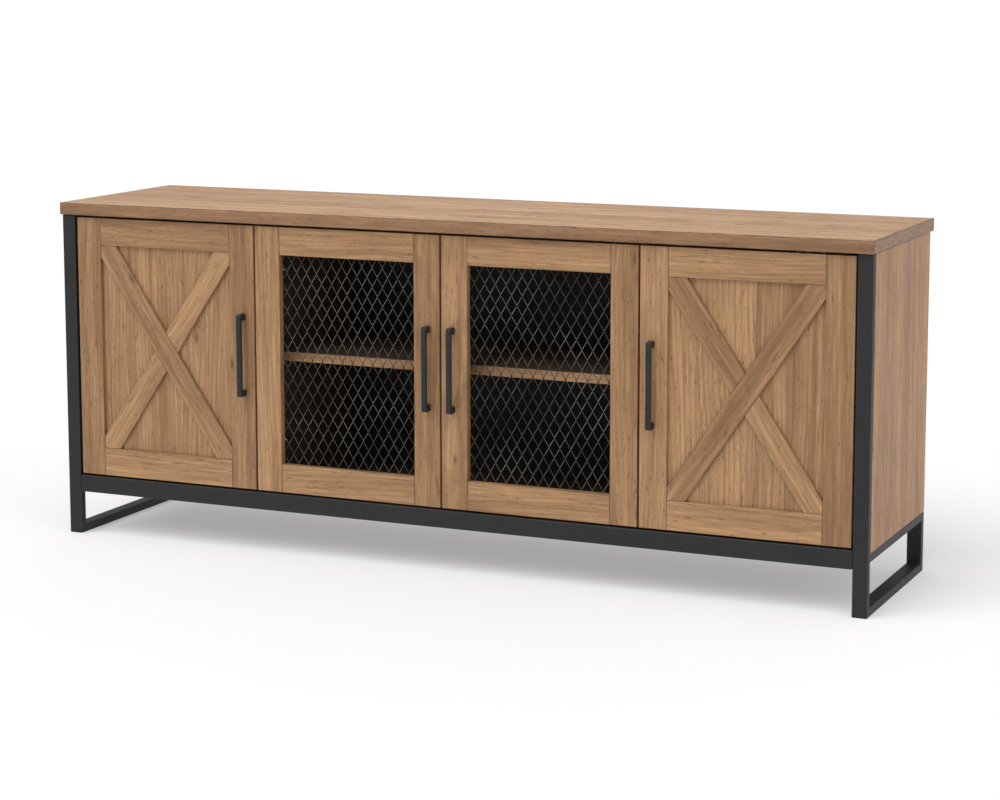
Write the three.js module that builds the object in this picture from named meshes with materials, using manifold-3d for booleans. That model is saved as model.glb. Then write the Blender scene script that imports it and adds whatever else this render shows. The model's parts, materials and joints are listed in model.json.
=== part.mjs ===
// TV stand with four doors: a wooden cabinet hung between two black steel side frames.
// Millimetres, +Z up, front towards -Y. The origin is on the floor, under the middle of the stand.
import * as THREE from 'three';
import { mergeVertices } from 'three/addons/utils/BufferGeometryUtils.js';
import Module from 'manifold-3d';

// ---- Driving dimensions ----------------------------------------------------------------------
const contactGap = 0.3; // between two pieces that touch

const topWidth = 1651;
const topDepth = 406;
const overallHeight = 665;
const topThickness = 24;
const frontOverhang = 6; // of the top beyond the steel posts
const sideOverhang = 2;
const backOverhang = 19;

const tubeWide = 28; // rectangular steel tube of the side frames
const tubeNarrow = 16;
const frontRailHeight = 34;
const frontRailClearance = 85.5; // floor to the underside of the front and rear rails
const sideRailDrop = 6; // side rail's top below the front rail's top

const boardThickness = 18; // sides, dividers, bottom and shelves
const backThickness = 3;
const dividerSetback = 2.3; // from the back of the doors
const shelfSetback = 32;
const shelfBackGap = 14; // cables drop behind the shelf
const shelfTop = 389; // height above the floor
const shelfEndGap = 0.8;

const doorThickness = 18;
const doorSetback = 3.8; // door fronts behind the front of the posts
const doorGap = 3.5; // beside the posts and between neighbouring doors
const doorTopGap = 4.6;
const doorBottomGap = 3.4;
const centreDoorWidth = 390;
const stileWidth = 53;
const topRailHeight = 54;
const bottomRailHeight = 55;

const panelRecess = 7; // front of the door panel behind the front of the door frame
const panelThickness = 8;
const grooveDepth = 6; // how far the panel reaches into stiles and rails
const braceWidth = 42;
const braceThickness = 6.2;
const braceToe = 9.5; // sideways, from the corner of the panel to the brace's centre line

const meshSeatWidth = 8; // rebate in the back of the frame that holds the metal mesh
const meshSeatDepth = 4;
const meshThickness = 1.2;
const meshBorder = 7;
const strandWidth = 1.4;
const diamondWidth = 21.5; // expanded metal, diamonds standing on end
const diamondHeight = 37;

const handleLength = 160;
const handleWidth = 9.5;
const handleProjection = 21;
const handleBarDepth = 7;
const handleFootHeight = 12;
const handleCornerRadius = 4;
const handleFromEdge = 23.5; // centre line of the handle from the door's free edge
const handleCentreHeight = 386;

const hingeFromEnd = 90; // hinge centres from the top and bottom of the door
const cupRadius = 17.5;
const cupDepth = 11.5;
const cupWall = 1;
const cupFromEdge = 22.5; // cup centre from the hinged edge of the door
const cupFlange = [20, 62, 1.5]; // across, up, thickness
const cupFlangeOffset = 5;
const cupSides = 20;
const armLength = 60;
const armWidth = 15;
const armThickness = 11;
const armClearance = 1; // hinge arm behind the cup's flange
const armNoseLength = 9;
const plateLength = 34;
const plateHeight = 50;
const plateThickness = 4;
const plateFromFront = 15; // mounting plate from the nose of the arm

const outletWidth = 90; // cable outlets in the back panel
const outletHeight = 50;
const outletDrop = 50; // outlet centres below the underside of the top
const centreOutletSpread = 192; // the two outlets of the centre bay, from the middle

// ---- Heights, depths and sideways places that follow from them ---------------------------------
const topUnderside = overallHeight - topThickness;
const frontRailTop = frontRailClearance + frontRailHeight;
const sideRailTop = frontRailTop - sideRailDrop;
const doorBottom = frontRailTop + doorBottomGap;
const doorHeight = topUnderside - doorTopGap - doorBottom;

const postFront = frontOverhang; // depths are counted back from the front edge of the top
const postBack = postFront + tubeNarrow;
const frameBack = topDepth - backOverhang;
const doorFront = postFront + doorSetback;
const doorBack = doorFront + doorThickness;
const dividerFront = doorBack + dividerSetback;
const backPanelFront = frameBack - backThickness;
const carcassBack = backPanelFront - contactGap;

const postOuter = topWidth / 2 - sideOverhang;
const postInner = postOuter - tubeWide;
const sideInner = postOuter - boardThickness;
const centreDoorHinge = doorGap / 2 + centreDoorWidth;
const dividerCentre = centreDoorHinge + doorGap / 2;
const dividerInner = dividerCentre - boardThickness / 2;
const dividerOuter = dividerCentre + boardThickness / 2;
const outerDoorHinge = postInner - doorGap;
const outerDoorWidth = outerDoorHinge - dividerCentre - doorGap / 2;

// ---- Materials -----------------------------------------------------------------------------------
const finish = (color, roughness, metalness = 0) =>
  new THREE.MeshStandardMaterial({ color, roughness, metalness });
const oak = finish(0xa58264, 0.55);
const oakTop = finish(0xb48c6c, 0.5);
const blackSteel = finish(0x222222, 0.45, 0.4);
const blackBoard = finish(0x1c1a18, 0.8);
const nickel = finish(0xb8b8b4, 0.3, 0.9);

// ---- Solids --------------------------------------------------------------------------------------
const wasm = await Module();
wasm.setup();

const box = (x0, x1, y0, y1, z0, z1) =>
  new THREE.BoxGeometry(Math.abs(x1 - x0), Math.abs(y1 - y0), Math.abs(z1 - z0))
    .translate((x0 + x1) / 2, (y0 + y1) / 2, (z0 + z1) / 2);

function solid(geometry) {
  const bare = geometry.clone();
  bare.deleteAttribute('normal');
  bare.deleteAttribute('uv');
  const merged = mergeVertices(bare);
  return new wasm.Manifold(new wasm.Mesh({
    numProp: 3,
    vertProperties: new Float32Array(merged.attributes.position.array),
    triVerts: new Uint32Array(merged.index.array),
  }));
}

function geometryOf(body) {
  const mesh = body.getMesh();
  const geometry = new THREE.BufferGeometry();
  geometry.setAttribute('position', new THREE.BufferAttribute(mesh.vertProperties, 3));
  geometry.setIndex(new THREE.BufferAttribute(mesh.triVerts, 1));
  geometry.computeVertexNormals();
  return geometry;
}

const join = (...bodies) => bodies.reduce((whole, body) => whole.add(body));

function addPiece(parent, name, geometry, material) {
  const mesh = new THREE.Mesh(geometry, material);
  mesh.name = name;
  parent.add(mesh);
}

// A plain board, placed by its centre.
function addBoard(parent, name, [x0, x1], [y0, y1], [z0, z1], material) {
  const mesh = new THREE.Mesh(
    new THREE.BoxGeometry(Math.abs(x1 - x0), Math.abs(y1 - y0), Math.abs(z1 - z0)), material);
  mesh.position.set((x0 + x1) / 2, (y0 + y1) / 2, (z0 + z1) / 2);
  mesh.name = name;
  parent.add(mesh);
}

// ---- Steel frame ---------------------------------------------------------------------------------
// Each side is welded from a full-height post, a runner on the floor, a short rear leg and a rail
// under the side panel. side is -1 on the left and 1 on the right.
function addSideFrame(parent, name, side) {
  const [inner, outer] = [side * postInner, side * postOuter];
  const bars = [
    box(inner, outer, postFront, postBack, 0, topUnderside - contactGap),
    box(inner, outer, postFront, frameBack, 0, tubeNarrow),
    box(inner, outer, frameBack - tubeNarrow, frameBack, 0, sideRailTop),
    box(inner, outer, postFront, frameBack, sideRailTop - tubeNarrow, sideRailTop),
  ];
  addPiece(parent, name, geometryOf(join(...bars.map(solid))), blackSteel);
}

function addSteelFrame(parent) {
  addSideFrame(parent, 'left_side_frame', -1);
  addSideFrame(parent, 'right_side_frame', 1);
  const between = [contactGap - postInner, postInner - contactGap];
  const heights = [frontRailClearance, frontRailTop];
  addBoard(parent, 'front_rail', between, [postFront, postBack], heights, blackSteel);
  addBoard(parent, 'rear_rail', between, [frameBack - tubeNarrow, frameBack], heights, blackSteel);
}

// ---- Cabinet -------------------------------------------------------------------------------------
function stadium(width, height) {
  const radius = height / 2;
  const run = width / 2 - radius;
  const shape = new THREE.Shape();
  shape.moveTo(-run, -radius);
  shape.lineTo(run, -radius);
  shape.absarc(run, 0, radius, -Math.PI / 2, Math.PI / 2);
  shape.lineTo(-run, radius);
  shape.absarc(-run, 0, radius, Math.PI / 2, Math.PI * 1.5);
  return shape;
}

// The back panel has a cable outlet near the top behind every door.
function backPanel() {
  const bottom = frontRailTop + contactGap;
  const panel = solid(box(contactGap - sideInner, sideInner - contactGap,
    backPanelFront, frameBack, bottom, topUnderside - contactGap));
  const outerBayCentre = (sideInner + dividerOuter) / 2;
  const cutter = new THREE.ExtrudeGeometry(stadium(outletWidth, outletHeight),
    { depth: 3 * backThickness, bevelEnabled: false, curveSegments: 8 }).rotateX(Math.PI / 2);
  return [-outerBayCentre, -centreOutletSpread, centreOutletSpread, outerBayCentre].reduce(
    (cut, x) => cut.subtract(solid(cutter.clone()
      .translate(x, frameBack + backThickness, topUnderside - outletDrop))), panel);
}

function addCabinet(parent) {
  const heights = [frontRailTop + contactGap, topUnderside - contactGap];
  addBoard(parent, 'top_panel', [-topWidth / 2, topWidth / 2], [0, topDepth],
    [topUnderside, overallHeight], oakTop);
  for (const [name, side] of [['left', -1], ['right', 1]]) {
    addBoard(parent, `${name}_side_panel`, [side * sideInner, side * postOuter],
      [postBack + contactGap, frameBack], [sideRailTop + contactGap, heights[1]], oak);
    addBoard(parent, `${name}_divider`, [side * dividerInner, side * dividerOuter],
      [dividerFront, carcassBack], heights, oak);
    addBoard(parent, `${name}_shelf`, [side * (dividerOuter + shelfEndGap), side * (sideInner - shelfEndGap)],
      [doorBack + shelfSetback, backPanelFront - shelfBackGap], [shelfTop - boardThickness, shelfTop], oak);
  }
  addBoard(parent, 'centre_shelf', [shelfEndGap - dividerInner, dividerInner - shelfEndGap],
    [doorBack + shelfSetback, backPanelFront - shelfBackGap], [shelfTop - boardThickness, shelfTop], oak);
  addBoard(parent, 'bottom_panel', [contactGap - postInner, postInner - contactGap],
    [postBack + contactGap, frameBack - tubeNarrow - contactGap],
    [frontRailTop - boardThickness, frontRailTop], oak);
  addPiece(parent, 'back_panel', geometryOf(backPanel()), blackBoard);
}

// ---- Doors ---------------------------------------------------------------------------------------
// A door is drawn from the bottom of its hinged edge: across towards the free edge, back from its
// front face, and up. toward is 1 where the free edge lies towards +X and -1 where it lies towards -X.
const hingeHeights = { lower: hingeFromEnd, upper: doorHeight - hingeFromEnd };

// The window inside stiles and rails, grown by a margin, between two depths.
const windowBox = (door, margin, front, back) => solid(box(
  door.toward * (stileWidth - margin), door.toward * (door.width - stileWidth + margin),
  front, back, bottomRailHeight - margin, doorHeight - topRailHeight + margin));

const cupHole = (door, radius, depth, height) => solid(
  new THREE.CylinderGeometry(radius, radius, depth, cupSides)
    .translate(door.toward * cupFromEdge, doorThickness - depth / 2, height));

// Stiles run the full height and the rails fit between them. Grooves for a panel, a rebate for a
// mesh and the holes for the hinge cups are cut out of them.
function addDoorFrame(parent, door, seat) {
  const { name, toward, width } = door;
  const rails = [toward * (stileWidth + contactGap), toward * (width - stileWidth - contactGap)];
  const members = {
    hinge_stile: box(0, toward * stileWidth, 0, doorThickness, 0, doorHeight),
    handle_stile: box(toward * (width - stileWidth), toward * width, 0, doorThickness, 0, doorHeight),
    top_rail: box(...rails, 0, doorThickness, doorHeight - topRailHeight, doorHeight),
    bottom_rail: box(...rails, 0, doorThickness, 0, bottomRailHeight),
  };
  for (const [member, geometry] of Object.entries(members)) {
    let body = solid(geometry).subtract(seat);
    if (member === 'hinge_stile') {
      for (const height of Object.values(hingeHeights)) {
        body = body.subtract(cupHole(door, cupRadius + contactGap, cupDepth + contactGap, height));
      }
    }
    addPiece(parent, `${name}_${member}`, geometryOf(body), oak);
  }
}

// A brace is a flat bar whose ends are cut to the corner of the window. rise is 1 for a bar that
// climbs towards the free edge and -1 for one that falls towards it.
function braceBar(door, rise, width) {
  const run = door.width - 2 * stileWidth - 2 * braceToe;
  const height = doorHeight - topRailHeight - bottomRailHeight;
  const back = panelRecess - contactGap;
  const bar = new THREE.BoxGeometry(2 * Math.hypot(run, height), braceThickness, width)
    .rotateY(-Math.atan2(height * rise, run * door.toward))
    .translate(door.toward * door.width / 2, back - braceThickness / 2, bottomRailHeight + height / 2);
  return solid(bar).intersect(windowBox(door, -contactGap, -doorThickness, doorThickness));
}

function addPanelAndBraces(parent, door) {
  const { name, toward, width } = door;
  const middle = (bottomRailHeight + doorHeight - topRailHeight) / 2;
  addPiece(parent, `${name}_panel`, geometryOf(windowBox(door, grooveDepth - contactGap,
    panelRecess, panelRecess + panelThickness)), oak);
  addPiece(parent, `${name}_long_brace`, geometryOf(braceBar(door, -1, braceWidth)), oak);
  const short = braceBar(door, 1, braceWidth).subtract(braceBar(door, -1, braceWidth + 2 * contactGap));
  for (const [half, low, high] of [['upper', middle, doorHeight], ['lower', 0, middle]]) {
    const keep = solid(box(0, toward * width, 0, doorThickness, low, high));
    addPiece(parent, `${name}_${half}_short_brace`, geometryOf(short.intersect(keep)), oak);
  }
}

// Expanded metal: two families of slanted strands inside a flat border, in the rebate at the back.
function meshSheet(door) {
  const front = doorThickness - meshSeatDepth + contactGap;
  const back = front + meshThickness;
  const margin = meshSeatWidth - contactGap;
  const sheet = windowBox(door, margin, front, back);
  const inside = windowBox(door, margin - meshBorder, front - 1, back + 1);
  const centre = [door.toward * door.width / 2, (bottomRailHeight + doorHeight - topRailHeight) / 2];
  const reach = Math.hypot(door.width, doorHeight);
  const slope = Math.atan2(diamondHeight, diamondWidth);
  const count = Math.ceil(door.width / diamondWidth + doorHeight / diamondHeight) / 2;
  const strands = [];
  for (const lean of [slope, -slope]) {
    for (let row = -Math.ceil(count); row <= count; row++) {
      strands.push(solid(new THREE.BoxGeometry(reach, meshThickness, strandWidth).rotateY(lean)
        .translate(centre[0] + row * diamondWidth, (front + back) / 2, centre[1])));
    }
  }
  return sheet.subtract(inside).add(join(...strands).intersect(sheet));
}

// ---- Handles and hinges ----------------------------------------------------------------------------
// The pull is one flat bar bent back at both ends, so its side view is a wide U.
function handleGeometry() {
  const half = handleLength / 2;
  const inner = half - handleFootHeight;
  const barBack = handleProjection - handleBarDepth;
  const foot = contactGap;
  const shape = new THREE.Shape();
  shape.moveTo(foot, -half);
  shape.lineTo(handleProjection - handleCornerRadius, -half);
  shape.absarc(handleProjection - handleCornerRadius, handleCornerRadius - half, handleCornerRadius,
    -Math.PI / 2, 0);
  shape.absarc(handleProjection - handleCornerRadius, half - handleCornerRadius, handleCornerRadius,
    0, Math.PI / 2);
  shape.lineTo(foot, half);
  shape.lineTo(foot, inner);
  shape.lineTo(barBack, inner);
  shape.lineTo(barBack, -inner);
  shape.lineTo(foot, -inner);
  return new THREE.ExtrudeGeometry(shape, { depth: handleWidth, bevelEnabled: false, curveSegments: 6 })
    .rotateX(Math.PI / 2).rotateZ(-Math.PI / 2).translate(handleWidth / 2, 0, 0);
}

// The cup is a dish let into the back of the door, with a flange screwed over its rim.
function hingeCup(door, height) {
  const [across, up, thickness] = cupFlange;
  const centre = cupFromEdge + cupFlangeOffset;
  const dish = cupHole(door, cupRadius, cupDepth, height);
  const flange = solid(box(door.toward * (centre - across / 2), door.toward * (centre + across / 2),
    doorThickness + contactGap, doorThickness + contactGap + thickness, height - up / 2, height + up / 2));
  const rim = solid(new THREE.CylinderGeometry(cupRadius, cupRadius, thickness + 2 * contactGap, cupSides)
    .translate(door.toward * cupFromEdge, doorThickness + thickness / 2, height));
  const hollow = solid(new THREE.CylinderGeometry(cupRadius - cupWall, cupRadius - cupWall,
    cupDepth - cupWall + 2 * thickness, cupSides)
    .translate(door.toward * cupFromEdge, doorThickness - (cupDepth - cupWall) / 2 + thickness, height));
  return join(dish, flange, rim).subtract(hollow);
}

// The arm is fixed on a side panel or a divider and reaches to just behind the cup. wall is the
// distance from the door's hinged edge to the face that carries the arm, away from the door when above 0.
function hingeArm(door, wall, height) {
  const { toward } = door;
  const front = doorThickness + contactGap + cupFlange[2] + armClearance;
  const face = contactGap - wall;
  const armFace = cupFromEdge - armThickness / 2;
  const plateFront = front + plateFromFront;
  const plate = box(toward * face, toward * (face + plateThickness), plateFront, plateFront + plateLength,
    height - plateHeight / 2, height + plateHeight / 2);
  const block = box(toward * face, toward * (armFace + armThickness / 2), plateFront,
    plateFront + plateLength, height - armWidth / 2, height + armWidth / 2);
  const arm = box(toward * armFace, toward * (armFace + armThickness), front + armNoseLength / 2,
    front + armLength, height - armWidth / 2, height + armWidth / 2);
  const nose = box(toward * (armFace + armThickness / 4), toward * (armFace + armThickness), front,
    front + armNoseLength, height - armWidth / 2, height + armWidth / 2);
  return join(...[plate, block, arm, nose].map(solid));
}

function addHardware(parent, door) {
  const { name, toward, width, wall } = door;
  addPiece(parent, `${name}_handle`, handleGeometry().translate(
    toward * (width - handleFromEdge), 0, handleCentreHeight - doorBottom), blackSteel);
  for (const [place, height] of Object.entries(hingeHeights)) {
    addPiece(parent, `${name}_${place}_hinge_cup`, geometryOf(hingeCup(door, height)), nickel);
    addPiece(parent, `${name}_${place}_hinge_arm`, geometryOf(hingeArm(door, wall, height)), nickel);
  }
}

function addDoor(parent, door) {
  const group = new THREE.Group();
  group.position.set(door.hinge, doorFront, doorBottom);
  parent.add(group);
  if (door.braced) {
    const groove = windowBox(door, grooveDepth, panelRecess - contactGap,
      panelRecess + panelThickness + contactGap);
    addDoorFrame(group, door, groove);
    addPanelAndBraces(group, door);
  } else {
    addDoorFrame(group, door, windowBox(door, meshSeatWidth, doorThickness - meshSeatDepth,
      2 * doorThickness));
    addPiece(group, `${door.name}_mesh`, geometryOf(meshSheet(door)), blackSteel);
  }
  addHardware(group, door);
}

// ---- The stand -----------------------------------------------------------------------------------
const outer = { width: outerDoorWidth, wall: sideInner - outerDoorHinge, braced: true };
const centre = { width: centreDoorWidth, wall: dividerInner - centreDoorHinge, braced: false };
const doors = [
  { ...outer, name: 'left_outer_door', toward: 1, hinge: -outerDoorHinge },
  { ...centre, name: 'left_centre_door', toward: 1, hinge: -centreDoorHinge },
  { ...centre, name: 'right_centre_door', toward: -1, hinge: centreDoorHinge },
  { ...outer, name: 'right_outer_door', toward: -1, hinge: outerDoorHinge },
];

const group = new THREE.Group();
const stand = new THREE.Group();
const handleFront = doorFront - handleProjection;
stand.position.y = -(handleFront + topDepth) / 2; // the origin is midway from handles to back edge
group.add(stand);
addSteelFrame(stand);
addCabinet(stand);
for (const door of doors) addDoor(stand, door);

export default group;
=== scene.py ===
# %% [markdown]
# # A TV stand with four doors
# A wooden cabinet hangs between two black steel side frames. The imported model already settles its
# size, its boards and its hinges, so it is loaded here as a frame that stays where it is. The cells
# below dress that frame: boards get rounded edges and oak grain, the expanded metal, the hinges and
# the small fixings are modelled, and a camera and soft light are set up.

# %% The fixed frame
import json
import math
import random

import bmesh
import bpy
from mathutils import Matrix, Vector


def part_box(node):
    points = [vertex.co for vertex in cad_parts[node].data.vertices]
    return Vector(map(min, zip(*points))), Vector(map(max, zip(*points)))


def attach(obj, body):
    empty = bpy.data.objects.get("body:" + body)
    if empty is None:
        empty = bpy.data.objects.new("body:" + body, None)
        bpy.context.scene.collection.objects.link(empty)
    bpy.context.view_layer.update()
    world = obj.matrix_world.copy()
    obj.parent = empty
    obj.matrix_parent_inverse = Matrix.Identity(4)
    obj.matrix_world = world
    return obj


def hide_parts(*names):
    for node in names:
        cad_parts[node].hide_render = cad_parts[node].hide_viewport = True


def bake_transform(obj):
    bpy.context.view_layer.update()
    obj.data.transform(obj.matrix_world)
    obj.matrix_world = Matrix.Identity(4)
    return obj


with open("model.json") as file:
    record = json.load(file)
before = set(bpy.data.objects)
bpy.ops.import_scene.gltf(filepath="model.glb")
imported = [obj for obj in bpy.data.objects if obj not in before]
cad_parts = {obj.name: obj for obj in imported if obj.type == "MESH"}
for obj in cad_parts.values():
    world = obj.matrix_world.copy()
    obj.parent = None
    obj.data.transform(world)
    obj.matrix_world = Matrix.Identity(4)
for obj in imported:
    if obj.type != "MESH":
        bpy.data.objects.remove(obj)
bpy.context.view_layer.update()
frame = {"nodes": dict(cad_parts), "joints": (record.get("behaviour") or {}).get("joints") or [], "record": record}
MM = 0.001
BODY_OF = {
    node: body
    for body, nodes in frame["record"]["behaviour"]["bodies"].items()
    for node in nodes
}

# %% [markdown]
# ## Camera
# The stand is seen from the front, a little from the right and from above. A long lens keeps the
# verticals nearly parallel, as in a shop picture, and a small shift lifts the stand in the frame.

# %% Camera
LENS = 89.33
SHIFT = (-0.020, -0.100)
TURN = math.radians(23.78)
TILT = math.radians(7.919)
CAMERA_PLACE = Vector((1.9669, -4.2853, 1.1476))

looking = Vector((-math.sin(TURN) * math.cos(TILT), math.cos(TURN) * math.cos(TILT), -math.sin(TILT)))
camera = bpy.data.objects.new("camera", bpy.data.cameras.new("camera"))
camera.data.lens = LENS
camera.data.shift_x, camera.data.shift_y = SHIFT
camera.data.clip_end = 400
camera.location = CAMERA_PLACE
camera.rotation_euler = looking.to_track_quat("-Z", "Y").to_euler()
bpy.context.scene.collection.objects.link(camera)
bpy.context.scene.camera = camera
print("camera", round(CAMERA_PLACE.length, 2), "m from the middle of the stand")

# %% [markdown]
# ## A short way to write shader nodes
# A finish is a chain of small nodes, such as noise, arithmetic and mixes of colour. These helpers add
# one node per line and return its output socket, so that a chain reads like a sum. A number goes into
# a socket as its value, and another node's output goes in as a link.

# %% Node helpers
def plug(tree, socket, value):
    """Links a socket to another node's output, or sets its plain value."""
    if isinstance(value, bpy.types.NodeSocket):
        tree.links.new(value, socket)
    else:
        socket.default_value = value


def add(tree, kind, inputs=(), **settings):
    """Adds a shader node of that kind, with its settings and its inputs by name or number."""
    made = tree.nodes.new("ShaderNode" + kind)
    for name, value in settings.items():
        setattr(made, name, value)
    for name, value in dict(inputs).items():
        plug(tree, made.inputs[name], value)
    return made


def calc(tree, operation, *values):
    """One arithmetic step."""
    made = add(tree, "Math", dict(enumerate(values)), operation=operation)
    return made.outputs[0]


def remap(tree, value, low, high):
    """Rises softly from 0 at low to 1 at high, and stays there outside."""
    spread = {"Value": value, "From Min": low, "From Max": high}
    return add(tree, "MapRange", spread, interpolation_type="SMOOTHSTEP").outputs[0]


def mix(tree, share, first, second):
    """Mixes two colours: share 0 gives the first and share 1 the second."""
    made = add(tree, "Mix", data_type="RGBA")
    for number, value in ((0, share), (6, first), (7, second)):
        plug(tree, made.inputs[number], value)
    return made.outputs[2]


def stretch(tree, vector, along, across, deep):
    """Scales a pattern's three coordinates: a larger number makes it finer that way."""
    made = add(tree, "VectorMath", {0: vector, 1: (along, across, deep)}, operation="MULTIPLY")
    return made.outputs[0]


def noise(tree, vector, seed=0.0, detail=2.0, roughness=0.5, scale=1.0):
    """Soft random values around 0.5, different for each seed."""
    inputs = {"Vector": vector, "W": seed, "Scale": scale, "Detail": detail, "Roughness": roughness}
    return add(tree, "TexNoise", inputs, noise_dimensions="4D").outputs[0]


def new_group(name, inputs, outputs):
    """An empty node group with named inputs (kind and default) and float outputs."""
    tree = bpy.data.node_groups.new(name, "ShaderNodeTree")
    for label, (kind, default) in inputs.items():
        socket = tree.interface.new_socket(label, in_out="INPUT", socket_type="NodeSocket" + kind)
        if default is not None:
            socket.default_value = default
    for label in outputs:
        tree.interface.new_socket(label, in_out="OUTPUT", socket_type="NodeSocketFloat")
    return tree, tree.nodes.new("NodeGroupInput").outputs, tree.nodes.new("NodeGroupOutput").inputs


def place_group(tree, group, **inputs):
    """Puts a group into a material. An underscore in an input's name stands for a space."""
    made = tree.nodes.new("ShaderNodeGroup")
    made.node_tree = group
    for name, value in inputs.items():
        plug(tree, made.inputs[name.replace("_", " ")], value)
    return made.outputs


def colour(red, green, blue):
    """A colour given as on a screen, 0 to 255, in the linear values that shaders use."""
    shares = [value / 255 for value in (red, green, blue)]
    return (*[s / 12.92 if s <= 0.04045 else ((s + 0.055) / 1.055) ** 2.4 for s in shares], 1.0)


def new_material(name):
    """A material with an empty Principled surface. Returns it, its tree and the shader."""
    material = bpy.data.materials.new(name)
    material.use_nodes = True
    tree = material.node_tree
    return material, tree, tree.nodes["Principled BSDF"]


print("node helpers ready")

# %% [markdown]
# ## Floor and light
# The stand is shown on a plain pale floor that runs out of sight. A wide, soft lamp above the front
# left gives the shadow under the cabinet, a weaker one from the right keeps the side panel open, and
# an even white sky fills the rest. The floor itself glows a little, as a lit photo table does, which
# keeps that shadow a light grey. Soft light shows the grain without hard glare on the steel.

# %% Floor and light
FLOOR_REACH = 150.0
FLOOR_GLOW = 0.31
SKY_STRENGTH = 0.54
KEY_LIGHT = (1.7, 50, 52, -24)
SIDE_LIGHT = (0.5, 60, 30, 62)


def add_floor():
    """A large disc, pale grey with the faintest unevenness and a weak glow."""
    material, tree, shader = new_material("floor")
    place = add(tree, "TexCoord").outputs["Object"]
    cloudy = noise(tree, place, detail=3, scale=1.5)
    tone = mix(tree, cloudy, colour(216, 216, 216), colour(219, 219, 219))
    plug(tree, shader.inputs["Base Color"], tone)
    shader.inputs["Roughness"].default_value = 0.7
    shader.inputs["Specular IOR Level"].default_value = 0.2
    shader.inputs["Emission Color"].default_value = (1, 1, 1, 1)
    shader.inputs["Emission Strength"].default_value = FLOOR_GLOW
    bm = bmesh.new()
    bmesh.ops.create_circle(bm, cap_ends=True, segments=64, radius=FLOOR_REACH)
    mesh = bpy.data.meshes.new("floor")
    bm.to_mesh(mesh)
    bm.free()
    mesh.materials.append(material)
    floor = bpy.data.objects.new("floor", mesh)
    bpy.context.scene.collection.objects.link(floor)


def add_lamp(name, strength, softness, height, turn):
    """A sun lamp: softness and the angles of its place are in degrees, turn 0 is the front."""
    lamp = bpy.data.lights.new(name, "SUN")
    lamp.energy = strength
    lamp.angle = math.radians(softness)
    up, side = math.radians(height), math.radians(turn)
    towards = Vector((math.sin(side) * math.cos(up), -math.cos(side) * math.cos(up), math.sin(up)))
    holder = bpy.data.objects.new(name, lamp)
    holder.rotation_euler = towards.to_track_quat("Z", "Y").to_euler()
    bpy.context.scene.collection.objects.link(holder)


def add_sky():
    """Even white light from all round, and plain white behind the stand."""
    world = bpy.data.worlds.new("studio")
    world.use_nodes = True
    tree = world.node_tree
    light = tree.nodes["Background"]
    light.inputs["Strength"].default_value = SKY_STRENGTH
    light.inputs["Color"].default_value = (1, 1, 1, 1)
    seen = add(tree, "Background", {"Color": (1, 1, 1, 1)})
    choose = add(tree, "MixShader", {0: add(tree, "LightPath").outputs["Is Camera Ray"]})
    plug(tree, choose.inputs[1], light.outputs[0])
    plug(tree, choose.inputs[2], seen.outputs[0])
    plug(tree, tree.nodes["World Output"].inputs["Surface"], choose.outputs[0])
    bpy.context.scene.world = world


add_floor()
add_lamp("key", *KEY_LIGHT)
add_lamp("side", *SIDE_LIGHT)
add_sky()
bpy.context.scene.view_settings.view_transform = "Standard"
print("floor, two lamps and a white sky")

# %% [markdown]
# ## Oak grain
# The boards are faced with a printed oak foil: fine dark fibres, short open pores, soft bands, arched
# growth rings and a few small knots that the fibres bend around. A photograph of oak could be laid on,
# but a pattern worked out from noise fits boards of any size and never repeats. It is drawn in
# coordinates of each board's own, along the grain, across it and into the board, and a number for each
# board makes every board different. Wide panels are printed as planks, so the pattern also jumps at
# each plank's edge. Knots lie in a share of the cells of one knot spacing, along and across the grain,
# and the ring phase puts the growth rings 8 mm apart. Sizes here are in metres.

# %% Node group: oak grain
KNOT_SPACING = (0.42, 0.085)
KNOT_SIZE = (0.011, 0.0038)
KNOT_REACH = (0.06, 0.016)
KNOT_SHARE = 0.28
RING_PHASE = 780
NO_PLANKS = 9.0


def inside_ellipse(tree, along, across, size):
    """1 at the centre, fading to 0 outside an ellipse of that half length and half width."""
    long_part = calc(tree, "POWER", calc(tree, "DIVIDE", along, size[0]), 2)
    wide_part = calc(tree, "POWER", calc(tree, "DIVIDE", across, size[1]), 2)
    return calc(tree, "EXPONENT", calc(tree, "MULTIPLY", calc(tree, "ADD", long_part, wide_part), -1))


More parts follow.
